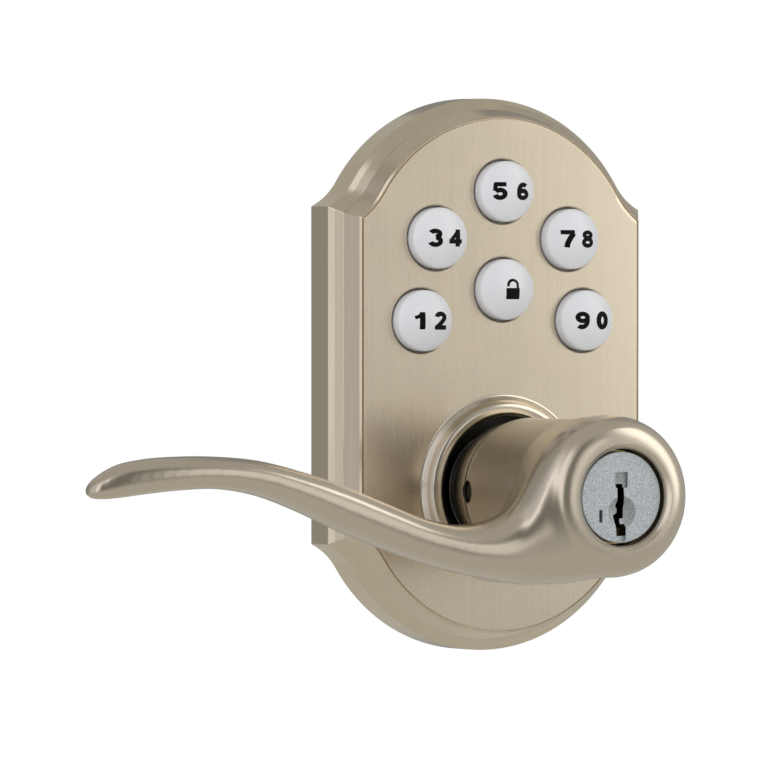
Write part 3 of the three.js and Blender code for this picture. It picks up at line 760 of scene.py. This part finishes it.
def on_dome(name, flat, x, z, key, widen=1.0):
    """Lays a flat solid, drawn one unit to the millimetre, on a key's dome."""
    centre = node_centre(f"button_{key}")
    work = bmesh.new()
    work.from_mesh(flat.data)
    bmesh.ops.triangulate(work, faces=work.faces)
    for _ in range(6):
        long_edges = [edge for edge in work.edges if edge.calc_length() > LONGEST_EDGE]
        if not long_edges:
            break
        bmesh.ops.subdivide_edges(work, edges=long_edges, cuts=1)
        bmesh.ops.triangulate(work, faces=work.faces)
    for vertex in work.verts:
        across, up = vertex.co.x * widen + x, vertex.co.y + z
        depth = dome_depth(math.hypot(across, up)) + (vertex.co.z + PRINT_LIFT)
        vertex.co = Vector((centre[0] + across, -depth, centre[1] + up)) * MM
    bmesh.ops.recalc_face_normals(work, faces=work.faces)
    work.to_mesh(flat.data)
    work.free()
    flat.name = name
    place_piece(flat, 30, f"button_{key}", "black_plastic", [], print_black)


def joined_bands(bands):
    first, *others = [ribbon(*band) for band in bands]
    join(first, *others)
    return first


def make_figures():
    for key, (shift, spread) in FIGURE_OFFSET.items():
        for side, character in zip((-1, 1), key):
            bands = joined_bands(FIGURES[character])
            on_dome(f"figure_{character}", bands, shift + side * spread, 0.0, key, FIGURE_WIDTH)


def make_padlock():
    """An open padlock: a body, and a shackle that stands clear of it on the left."""
    shackle = [(1.3, -0.2), (1.3, 0.75)] + arc(0, 0.9, 1.3, 1.22, 0, 180)[1:] + [(-1.3, 0.62)]
    bands = [([(-1.85, -1.15), (1.85, -1.15)], 2.7), (shackle, 0.66)]
    on_dome("padlock_mark", joined_bands(bands), 0.4, 0.15, "lock")


# -------- lever

# Stations along the arm: x, middle height, half height, middle depth, half thickness.
ARM_STATIONS = [
    (-124.8, 3.0, 0.8, 51.4, 1.2), (-124.0, 3.2, 1.6, 51.5, 2.2), (-121.5, 4.0, 2.8, 51.7, 3.4),
    (-118.0, 5.0, 3.6, 52.0, 4.3), (-112.0, 6.0, 3.9, 52.6, 5.2), (-104.0, 6.65, 3.8, 53.5, 5.9),
    (-95.0, 6.7, 3.65, 54.4, 6.3), (-85.0, 5.35, 4.0, 55.3, 6.6), (-75.0, 2.25, 4.6, 56.1, 6.9),
    (-65.0, -1.65, 5.3, 56.9, 7.2), (-55.0, -5.7, 5.3, 57.8, 7.7), (-45.0, -9.45, 5.15, 58.9, 8.4),
    (-35.0, -11.8, 5.65, 60.1, 9.4), (-28.0, -12.1, 6.8, 60.7, 10.1), (-20.0, -11.1, 9.1, 60.9, 10.7),
    (-15.0, -9.4, 10.6, 61.0, 11.0), (-10.0, -7.4, 12.2, 61.1, 11.1), (-4.0, -6.2, 12.8, 61.1, 11.0),
    (2.0, -5.8, 12.8, 61.0, 10.8), (6.0, -5.2, 11.6, 60.8, 9.6), (10.0, -4.4, 9.2, 60.6, 8.2),
    (13.0, -4.0, 6.6, 60.6, 6.2), (15.0, -4.0, 2.6, 60.6, 2.6),
]

# The head's outer profile, radius and depth, from the neck's rear to the front rim.
HEAD_PROFILE = [
    (15.3, 20.9), (15.9, 21.3), (16.2, 22.9), (16.5, 25.4), (16.75, 27.4), (16.9, 29.1), (17.35, 29.6),
    (17.4, 30.6), (17.4, 36.0), (17.5, 45.0), (17.7, 54.5),
    (18.4, 60.0), (18.9, 66.5), (18.8, 69.3), (18.35, 71.5), (17.4, 73.3), (16.0, 74.5), (14.5, 75.1),
    (13.3, 75.3),
]


def smooth_curve(knots, values):
    """A function that follows the knots by cubics that share their slopes there."""
    knots = np.array(knots, float)
    values = np.array(values, float)
    slopes = np.gradient(values, knots)

    def at(position):
        position = np.clip(position, knots[0], knots[-1])
        i = np.clip(np.searchsorted(knots, position) - 1, 0, len(knots) - 2)
        width = knots[i + 1] - knots[i]
        t = (position - knots[i]) / width
        a, b = values[i], values[i + 1]
        return (
            a * (1 + 2 * t) * (1 - t) ** 2
            + b * t * t * (3 - 2 * t)
            + slopes[i] * width * t * (1 - t) ** 2
            - slopes[i + 1] * width * t * t * (1 - t)
        )

    return at


ARM_X, *ARM_COLUMNS = zip(*ARM_STATIONS)
ARM_CURVES = [smooth_curve(ARM_X, column) for column in ARM_COLUMNS]
CLOSED_HEAD = [(0, HEAD_PROFILE[0][1]), *HEAD_PROFILE, (0, HEAD_PROFILE[-1][1])]


def head_distance(points):
    """Signed distance to the head, a body turned about the lever's axis."""
    radius = np.hypot(points[:, 0], points[:, 2])
    depth = -points[:, 1]
    profile = np.array(CLOSED_HEAD, float)
    best = np.full(len(points), 1e9)
    inside = np.zeros(len(points), bool)
    for (r1, d1), (r2, d2) in zip(profile[:-1], profile[1:]):
        run_r, run_d = r2 - r1, d2 - d1
        t = np.clip(((radius - r1) * run_r + (depth - d1) * run_d) / (run_r ** 2 + run_d ** 2), 0, 1)
        best = np.minimum(best, np.hypot(radius - r1 - t * run_r, depth - d1 - t * run_d))
        if d1 != d2:
            crosses = (d1 <= depth) != (d2 <= depth)
            inside ^= crosses & (radius < r1 + (depth - d1) * run_r / run_d)
    return np.where(inside, -best, best)


FULLNESS = 2.35     # of the arm's section: 2 would be a plain oval


def arm_distance(points):
    """Nearly the signed distance to the arm: a full-shouldered oval at each x."""
    x = points[:, 0]
    middle_z, tall, middle_depth, deep = (curve(x) for curve in ARM_CURVES)
    tall = np.maximum(tall, 0.3)
    deep = np.maximum(deep, 0.3)
    up = points[:, 2] - middle_z
    out = -points[:, 1] - middle_depth
    high, far = np.abs(up / tall), np.abs(out / deep)
    level = np.maximum(high ** FULLNESS + far ** FULLNESS, 1e-9) ** (1 / FULLNESS)
    pull = level ** (1 - FULLNESS)
    rise = np.hypot(pull * high ** (FULLNESS - 1) / tall, pull * far ** (FULLNESS - 1) / deep)
    side = (level - 1) / np.maximum(rise, 1e-6)
    ends = np.maximum(ARM_X[0] - x, x - ARM_X[-1])
    return np.maximum(side, ends)


def slope_of(distance, points, step=0.02):
    slope = np.zeros_like(points)
    for axis in range(3):
        nudge = np.zeros(3)
        nudge[axis] = step
        slope[:, axis] = (distance(points + nudge) - distance(points - nudge)) / (2 * step)
    return slope


# How widely head and arm blend.
FILLET = 13.0               # under the arm
SHOULDER_FILLET = 21.0      # over the arm, towards the front
REAR_FILLET = 4.0           # over the arm, towards the door
NARROW_FILLET = 2.2         # on the head's far side


def eased(value, start, end):
    """Goes smoothly from nought at the start to one at the end."""
    share = np.clip((value - start) / (end - start), 0, 1)
    return share * share * (3 - 2 * share)


def fillet_at(points):
    """How widely head and arm blend at each point, down to nothing at the front face."""
    x, depth, z = points[:, 0], -points[:, 1], points[:, 2]
    over = eased(z, -18.0, 0.0)
    forward = eased(depth, 52.0, 67.0)
    above = REAR_FILLET + (SHOULDER_FILLET - REAR_FILLET) * forward
    broad = FILLET * (1 - over) + above * over
    width = NARROW_FILLET + (broad - NARROW_FILLET) * eased(x, 1.0, -13.0)
    return np.maximum(width * eased(depth, HEAD_FRONT, HEAD_FRONT - 4.0), 0.01)


def lever_distance(points):
    """The head and the arm, flowing into each other."""
    head, arm = head_distance(points), arm_distance(points)
    fillet = fillet_at(points)
    share = np.maximum(fillet - np.abs(head - arm), 0) / fillet
    return np.minimum(head, arm) - share ** 3 * fillet / 6


def settle(obj, rounds=4, reach=0.5):
    """Pulls each vertex onto the surface where the distance is nought."""
    mesh = obj.data
    count = len(mesh.vertices)
    flat = np.zeros(count * 3)
    mesh.vertices.foreach_get("co", flat)
    points = flat.reshape(-1, 3) / MM
    for _ in range(rounds):
        value = lever_distance(points)
        slope = slope_of(lever_distance, points)
        square = np.maximum((slope ** 2).sum(1), 0.05)
        move = -slope * (value / square)[:, None]
        length = np.linalg.norm(move, axis=1)
        move *= np.minimum(1, reach / np.maximum(length, 1e-9))[:, None]
        points = points + move
    mesh.vertices.foreach_set("co", (points * MM).ravel())
    mesh.update()


def remesh(obj, voxel):
    modifier = obj.modifiers.new("remesh", "REMESH")
    modifier.mode = "VOXEL"
    modifier.voxel_size = voxel * MM
    apply_modifiers(obj)


def relax(obj, rounds):
    modifier = obj.modifiers.new("relax", "SMOOTH")
    modifier.factor = 0.5
    modifier.iterations = rounds
    apply_modifiers(obj)


def arm_skin():
    rings = []
    steps, sides = 150, 40
    for i in range(steps + 1):
        share = i / steps
        x = ARM_X[0] + (ARM_X[-1] - ARM_X[0]) * share
        middle_z, tall, middle_depth, deep = (float(curve(x)) for curve in ARM_CURVES)
        ring = []
        for k in range(sides):
            turn = 2 * math.pi * k / sides
            ring.append((x, -middle_depth + deep * math.cos(turn), middle_z + tall * math.sin(turn)))
        rings.append(ring)
    return skin("arm", rings)


def make_lever():
    voxel = 0.55
    body = lathe("lever_body", CLOSED_HEAD, 120)
    join(body, arm_skin())
    remesh(body, voxel)
    settle(body, 4, 1.0)
    relax(body, 10)
    settle(body, 4)
    relax(body, 5)
    cut(body, lathe("bore", [
        (0, NECK_BACK - 2), (13.1, NECK_BACK - 2), (12.9, NECK_BACK + 0.2), (12.3, NECK_BACK + 0.8),
        (12.3, 43), (11.2, 43.6), (11.2, HEAD_FRONT - 1.6), (11.35, HEAD_FRONT - 0.95),
        (11.75, HEAD_FRONT - 0.4), (12.35, HEAD_FRONT - 0.05),
        (15.0, HEAD_FRONT + 3.0), (0, HEAD_FRONT + 3.0),
    ], 128))
    cut(body, catch_rod("release_hole", [
        (-5, 0), (-5, CATCH_RADIUS), (-16.9, CATCH_RADIUS), (-17.3, 2.95), (-18.2, 3.6), (-18.2, 0),
    ], 40))
    place_piece(body, 40, "lever", "lever_nickel", ["lever"], lever_nickel)


# -------- key cylinder

KEYWAY = [
    (-1.1, 3.1), (0.6, 3.1), (0.75, 0.4), (0.9, -1.6), (0.7, -2.6), (0.7, -4.9), (-0.3, -4.9), (-0.3, -6.2),
    (0.9, -6.2), (1.2, -7.0), (1.2, -9.0), (-1.3, -9.0), (-1.5, -6.6), (-2.1, -4.2), (-1.0, -3.5),
    (-1.0, -2.6), (-1.5, -2.1), (-1.0, -0.8),
]


def make_plug():
    face = PLUG_FACE
    back = -node_size("key_plug")[1].y
    barrel, rim, rim_back = 7.0, 10.6, 70.7
    profile = rounded([
        (0, back), (6.0, back), (6.0, back + 2), (barrel, back + 2.2), (barrel, rim_back),
        (rim, rim_back, 0.1), (rim, face, 0.3), (0, face),
    ], 0.0, 5)
    body = lathe("cylinder_plug", profile, 96)
    keyway = rounded(KEYWAY, 0.16, 2, looped=True)
    bowl = [(3.7 * k / 6, face - 0.55 * (1 - (k / 6) ** 2)) for k in range(7)]
    dish = lathe("dish", [*bowl, (4.2, face + 0.4), (0, face + 0.4)], 48, 0.2, -3.4)
    recess = prism("recess", rectangle(-1.7, 1.7, 2.2, 5.8, 0.25), face - 0.6, face + 1)
    notch = prism("notch", rectangle(-1.3, 1.2, -10.1, -8.7, 0.2), face - 0.8, face + 1)
    tool_slot = prism("tool_slot", rectangle(-5.9, -5.0, -5.7, -2.8, 0.2), face - 3, face + 1)
    socket = block("tail_socket", -3.3, 3.3, -1.3, 1.3, back - 1, back + 4)
    cut(body, dish, recess, notch, tool_slot, prism("keyway", keyway, 47, face + 1), socket)
    for depth in WAFER_DEPTHS:
        cut(body, block("wafer_slot", -2.6, 2.6, -5.5, 8, depth - 0.8, depth + 0.8))
    coat(body, cast_nickel, darker_cast_nickel, dark_steel_and_shade)
    # The shallow marks in the face are a darker cast nickel, and the keyway and the wafer slots are painted
    # near-black as painted shade.
    dish_end = face - 0.62
    for polygon in body.data.polygons:
        middle = polygon.center / MM
        across, depth, up = abs(middle.x), -middle.y, abs(middle.z)
        if across < 4.2 and dish_end < depth < face - 0.01 and math.hypot(across, up) < 9:
            polygon.material_index = 1
        if across < 2.7 and up < 9.1 and 48 < depth < dish_end:
            polygon.material_index = 2
    place_piece(body, 30, "key", "cast_nickel", ["key_plug"])


def make_tailpiece():
    low, high = node_size("tailpiece")
    piece = prism("tailpiece_bar", rectangle(low.x, high.x, low.z, high.z, 0.35), -high.y, -low.y, 0.25)
    place_piece(piece, 35, "key", "zinc_steel", ["tailpiece"], zinc_steel)


# -------- sleeve, clip and cage


def turned_ring(name, corners, edge):
    """A closed section, its corners rounded, turned about the lever's axis."""
    return lathe(name, rounded(corners, edge, 4, looped=True), 112, looped=True)


def make_sleeve():
    body = turned_ring("lever_sleeve", [
        (10.2, -12), (12.0, -12), (12.0, 14.7, 0.05), (11.3, 14.7, 0.05), (11.3, 16.3, 0.05),
        (12.0, 16.3, 0.05), (12.0, 41.5), (10.2, 41.5),
    ], 0.35)
    cut(body, block("drive_slot", -15, 15, -2.5, 2.5, -13, -5))
    cut(body, catch_rod("catch_hole", [(-15, CATCH_RADIUS), (-5, CATCH_RADIUS)], 32))
    # The sleeve is coloured as painted shade, so that what shows of it behind the neck reads like the neck's
    # shaded rear end.
    place_piece(body, 30, "lever", "zinc_steel", ["spindle_sleeve"], painted_shade_steel)


def open_ring(name, inner, outer, back, front, mouth, edge):
    """A retaining ring with its mouth at the top and rounded rims."""
    start, end = math.pi / 2 + mouth, math.pi / 2 - mouth + 2 * math.pi
    steps = 90
    corners = [(inner, back), (outer, back), (outer, front), (inner, front)]
    section = rounded(corners, edge, 3, looped=True)
    rings = []
    for i in range(steps + 1):
        turn = start + (end - start) * i / steps
        across, up = math.cos(turn), math.sin(turn)
        rings.append([(radius * across, -depth, radius * up) for radius, depth in section])
    return skin(name, rings)


def make_clip():
    low, high = node_size("spindle_clip")
    piece = open_ring("retaining_ring", 11.6, 14.0, -high.y, -low.y, mouth=0.3, edge=0.18)
    place_piece(piece, 35, "lever", "spring_steel", ["spindle_clip"], spring_steel)


def make_cage_cover():
    piece = turned_ring("cage_cover", [(12.4, 13.1), (17.9, 13.1), (17.9, 14.3), (12.4, 14.3)], 0.3)
    # The cover is coloured near-black as painted shade, so that the gap behind the ring reads dark.
    place_piece(piece, 35, "housing", "zinc_steel", ["spring_cage_cover"], dark_steel_and_shade)


def make_bushing():
    corners = [(12.3, 0), (15.2, 0), (15.2, 0.9), (13.3, 0.9), (13.3, 2.7), (12.3, 2.7)]
    piece = turned_ring("sleeve_bushing", corners, 0.2)
    place_piece(piece, 35, "housing", "brass", ["spindle_bushing"], brass)


# -------- back


def make_back_plate():
    body = skin("mounting_plate", [
        outline_ring(3.4 + inset, depth) for inset, depth in
        [(0.25, 1.2), (0.07, 1.27), (0.0, 1.45), (0.0, 2.45), (0.07, 2.63), (0.25, 2.7)]
    ])
    holes = [(13.6, 0, 0), (4.1, -POST_X, 0), (4.1, POST_X, 0), *[(1.6, x, z) for x, z in SCREW_PLACES]]
    for radius, x, z in holes:
        profile = [
            (0, 0.5), (radius + 0.9, 0.5), (radius + 0.15, 1.25), (radius, 1.4), (radius, 3.5), (0, 3.5),
        ]
        cut(body, lathe("plate_hole", profile, 72, x, z))
    slot = rectangle(-5.6, 5.6, CABLE_SLOT_Z - 3.3, CABLE_SLOT_Z + 3.3, 0.8)
    cut(body, prism("cable_slot", slot, 0, 4))
    place_piece(body, 30, "housing", "zinc_steel", ["back_plate"], zinc_steel)


def make_gasket():
    section = rounded([(3.4, 0), (5.0, 0), (5.0, 0.9), (3.4, 0.9)], 0.2, 3, looped=True)
    piece = skin("foam_gasket", [outline_ring(inset, depth) for inset, depth in section], looped=True)
    place_piece(piece, 40, "housing", "foam", ["door_gasket"], foam)


def make_grommet():
    def slot_ring(grow, depth):
        half_width, half_height = 5 + grow, 2.7 + grow
        bottom, top = CABLE_SLOT_Z - half_height, CABLE_SLOT_Z + half_height
        outline = rectangle(-half_width, half_width, bottom, top, 0.8 + grow)
        return [(x, -depth, z) for x, z in outline]

    section = rounded([
        (-0.4, 0.2), (1.0, 0.2), (1.0, 0.9), (0.3, 0.9), (0.3, 3.0), (1.0, 3.0), (1.0, 3.7), (-0.4, 3.7),
    ], 0.18, 3, looped=True)
    piece = skin("cable_bush", [slot_ring(grow, depth) for grow, depth in section], looped=True)
    place_piece(piece, 40, "housing", "rubber", ["cable_grommet"], rubber)


def make_post(side, word):
    """A post with a blind bore, 16 mm deep, that narrows a little at its middle."""
    blind_end = [(0, -6.0), (2.0, -6.0)]
    outside = rounded([
        (0, -12), (2.0, -12.0), (2.0, -21.6), (2.4, -22.0), (3.4, -22.0, 0.05), (3.8, -21.6, 0.05),
        (3.8, 3.0), (4.3, 3.0), (4.3, 5.0), (0, 5.0),
    ], 0.25, 4)
    body = lathe(f"threaded_post_{word}", blind_end + outside[2:], 72, side * POST_X)
    place_piece(body, 35, "housing", "zinc_steel", [f"mounting_post_{word}"], zinc_steel)


def make_plate_screw(index):
    x, z = node_centre(f"plate_screw_{index}")
    profile = rounded([
        (0, 0), (1.6, 0), (2.45, 0.25, 0.3), (2.6, 0.9), (1.2, 0.9), (1.2, 7.8), (0, 9.0),
    ], 0.1, 4)
    body = lathe(f"plate_screw_head_{index}", profile, 48, x, z)
    for name, across, up in (("slot_a", 1.5, 0.35), ("slot_b", 0.35, 1.5)):
        cut(body, block(name, x - across, x + across, z - up, z + up, -1, 0.5))
    place_piece(body, 30, "housing", "zinc_steel", [f"plate_screw_{index}"], zinc_steel)


# -------- camera, light and floor


def make_camera():
    data = bpy.data.cameras.new("camera")
    data.lens = 204.1
    data.sensor_width = 36
    camera = new_object("camera", data)
    turn, rise, distance = math.radians(27.648), math.radians(1.021), 1.0587
    back = Vector((-math.sin(turn) * math.cos(rise), -math.cos(turn) * math.cos(rise), math.sin(rise)))
    target = Vector((-0.023448, 0.0, 0.025202))
    camera.location = target + back * distance
    camera.rotation_mode = "QUATERNION"
    camera.rotation_quaternion = (-back).to_track_quat("-Z", "Y")
    data.clip_start = 0.05
    data.clip_end = 20
    bpy.context.scene.camera = camera


# How bright the studio is in each direction round the lock, from -180 to 180 degrees, where 0 is
# straight out from the door and 90 to the right.
STUDIO = [
    (-180, 0.24), (-166, 0.28), (-150, 0.37), (-132, 0.42), (-118, 0.58), (-104, 0.68), (-90, 0.74),
    (-74, 0.74), (-64, 0.95), (-56, 1.4), (-46, 1.35), (-38, 0.6), (-28, 0.26), (-12, 0.17), (0, 0.26),
    (10, 0.45), (24, 0.48), (40, 0.56), (75, 0.56), (100, 0.58), (128, 0.40), (155, 0.27), (180, 0.24),
]
SKY, GROUND = 0.52, 0.6
# The heights of view, where 1 is straight up or down, over which sky and ground take over.
SKY_EDGE, GROUND_EDGE = (0.77, 0.83), (0.12, 0.55)
# The sky reaches lower at the rear, from this far back and by this much.
REAR_START, REAR_DROP = 0.5, 1.1


def blend_to(nodes, colour, level, value, edge):
    """Goes over from a colour to a near-grey level where the value crosses the edge."""
    share = nodes.add("ShaderNodeMapRange", interpolation_type="SMOOTHSTEP")
    nodes.link(value, share.inputs["Value"])
    share.inputs["From Min"].default_value, share.inputs["From Max"].default_value = edge
    mixed = nodes.add("ShaderNodeMix", data_type="RGBA")
    nodes.link(share.outputs["Result"], mixed.inputs["Factor"])
    nodes.link(colour, mixed.inputs["A"])
    mixed.inputs["B"].default_value = (level, level * 0.99, level * 0.93, 1)
    return mixed.outputs["Result"]


def make_world():
    world = bpy.data.worlds.new("studio")
    bpy.context.scene.world = world
    world.use_nodes = True
    world.node_tree.nodes.clear()
    nodes = Tree(world.node_tree)
    x, y, up = nodes.split(nodes.add("ShaderNodeTexCoord").outputs["Generated"])
    turn = nodes.maths("ARCTAN2", x, nodes.maths("MULTIPLY", y, -1.0))
    share = nodes.maths("ADD", nodes.maths("DIVIDE", turn, 2 * math.pi), 0.5)
    ramp = nodes.add("ShaderNodeValToRGB")
    ramp.color_ramp.interpolation = "EASE"
    elements = ramp.color_ramp.elements
    while len(elements) > 1:
        elements.remove(elements[-1])
    for i, (degrees, level) in enumerate(STUDIO):
        position = degrees / 360 + 0.5
        element = elements[0] if i == 0 else elements.new(position)
        element.position = position
        cool = 1.05 if -120 < degrees < -45 else 0.97
        element.color = (level, level, level * cool, 1)
    nodes.link(share, ramp.inputs["Fac"])
    behind = nodes.maths("MAXIMUM", nodes.maths("SUBTRACT", y, REAR_START), 0.0)
    lifted = nodes.maths("ADD", up, nodes.maths("MULTIPLY", behind, REAR_DROP))
    colour = blend_to(nodes, ramp.outputs["Color"], SKY, lifted, SKY_EDGE)
    colour = blend_to(nodes, colour, GROUND, nodes.maths("MULTIPLY", up, -1.0), GROUND_EDGE)
    light = nodes.add("ShaderNodeBackground")
    nodes.link(colour, light.inputs["Color"])
    seen = nodes.add("ShaderNodeBackground")
    seen.inputs["Color"].default_value = (1, 1, 1, 1)
    choose = nodes.add("ShaderNodeMixShader")
    camera_ray = nodes.add("ShaderNodeLightPath").outputs["Is Camera Ray"]
    for output, target in zip((camera_ray, light.outputs[0], seen.outputs[0]), choose.inputs):
        nodes.link(output, target)
    nodes.link(choose.outputs[0], nodes.add("ShaderNodeOutputWorld").inputs["Surface"])


def add_softbox(name, place, target, size, power, glossy=True):
    """A rectangular lamp aimed at a target, its places and size in metres and its power in watts."""
    data = bpy.data.lights.new(name, "AREA")
    data.shape = "RECTANGLE"
    data.size, data.size_y = size
    data.energy = power
    lamp = new_object(name, data)
    lamp.location = place
    direction = Vector(target) - Vector(place)
    lamp.rotation_mode = "QUATERNION"
    lamp.rotation_quaternion = direction.to_track_quat("-Z", "Y")
    lamp.visible_camera = False
    lamp.visible_glossy = glossy


def make_floor():
    """A pale round floor well below the lock, its rim turned down."""
    height = -0.30
    floor = lathe("studio_floor", [(0, 0), (1500, 0), (1530, -8), (1540, -30)], 96)
    for vertex in floor.data.vertices:
        x, y, z = vertex.co
        vertex.co = (x, z, height - y)
    floor.data.shade_smooth()
    nodes = Nodes("studio_floor", (0.86, 0.86, 0.86), 0.8, 0.0)
    nodes.put("Roughness", nodes.range(nodes.noise(nodes.place(), 30.0), 0.75, 0.9))
    floor.data.materials.append(nodes.material)
    floor.visible_glossy = False


# -------- the whole scene

bpy.context.scene.view_settings.view_transform = "Standard"
make_camera()
make_world()
make_floor()
plate_middle = (0, 0, 0.03)
add_softbox("key_light", (-0.9, -1.0, 1.3), plate_middle, (0.55, 0.55), 3.9, glossy=False)
add_softbox("left_fill", (-1.3, -0.55, -0.1), plate_middle, (0.7, 0.9), 3.6, glossy=False)
add_softbox("face_light", (0.50, -0.47, 0.28), plate_middle, (0.36, 0.7), 1.15)
add_softbox("lever_light", (0.20, -1.35, 0.22), (-0.04, -0.06, 0), (0.6, 0.9), 1.0)

finish_cad_nodes()
make_escutcheon()
for key_name in KEY_NAMES:
    make_key(key_name)
make_figures()
make_padlock()
make_lever()
make_plug()
make_tailpiece()
make_sleeve()
make_clip()
make_cage_cover()
make_bushing()
make_back_plate()
make_gasket()
make_grommet()
make_post(-1, "left")
make_post(1, "right")
for screw_index in range(1, 5):
    make_plate_screw(screw_index)
